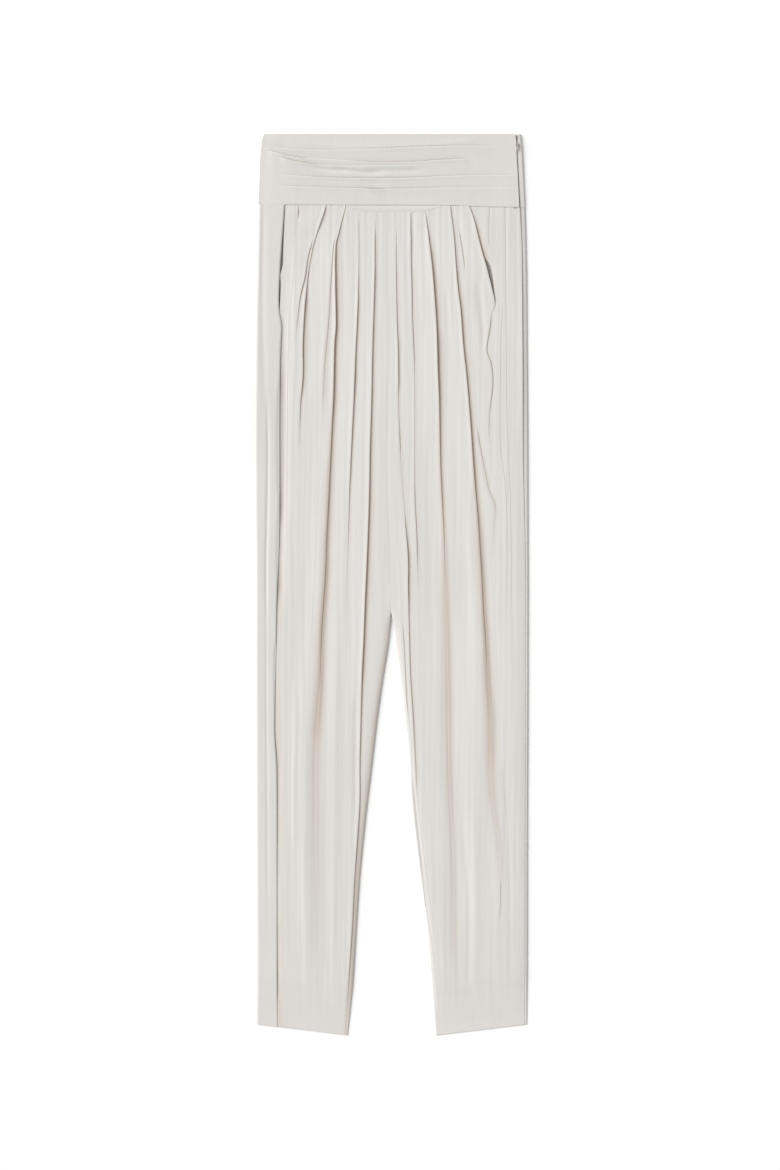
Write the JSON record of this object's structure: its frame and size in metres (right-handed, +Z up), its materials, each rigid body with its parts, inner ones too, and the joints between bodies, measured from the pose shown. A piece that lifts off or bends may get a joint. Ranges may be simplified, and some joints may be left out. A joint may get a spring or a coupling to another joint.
{
  "type": "drop-crotch trousers",
  "caption": "Plain ivory drop-crotch trousers laid flat front up, with a wide tucked waistband, soft pleats, slanted pocket mouths, tapered legs and a closed side zip.",
  "frame": {"origin": "on the ground under the middle of the laid garment's bounding box", "axes": "+Y runs up the garment to the waist edge, +X to the picture's right (the wearer's left), +Z up from the surface it lies on, out of its front"},
  "size_m": [0.3275, 1.0801, 0.0074],
  "materials": {
    "front_left_cloth": "soft satin crepe",
    "front_right_cloth": "soft satin crepe",
    "back_left_cloth": "soft satin crepe",
    "back_right_cloth": "soft satin crepe",
    "waistband_front_cloth": "soft satin crepe",
    "waistband_back_cloth": "soft satin crepe",
    "waist_stay_cloth": "soft satin crepe",
    "left_bag_cloth": "matte plain weave",
    "right_bag_cloth": "matte plain weave",
    "zip_tape_weave": "matte woven tape",
    "zip_slider_metal": "satin",
    "zip_pull_metal": "satin"
  },
  "bodies": {
    "garment": {"front_left": "front_left_cloth", "front_right": "front_right_cloth", "back_left": "back_left_cloth", "back_right": "back_right_cloth", "waistband_front": "waistband_front_cloth", "waistband_back": "waistband_back_cloth", "waist_stay": "waist_stay_cloth", "pocket_bag_left": "left_bag_cloth", "pocket_bag_right": "right_bag_cloth", "zip_tape": "zip_tape_weave", "zip_slider": "zip_slider_metal"},
    "pull": {"zip_pull": "zip_pull_metal"}
  },
  "joints": [
    {"name": "zip_pull_swing", "type": "hinge", "parent": "garment", "child": "pull", "pos_m": [0.15055, 0.5278, 0.0055], "axis": [-1, 0, 0], "range_deg": [0, 150]}
  ]
}
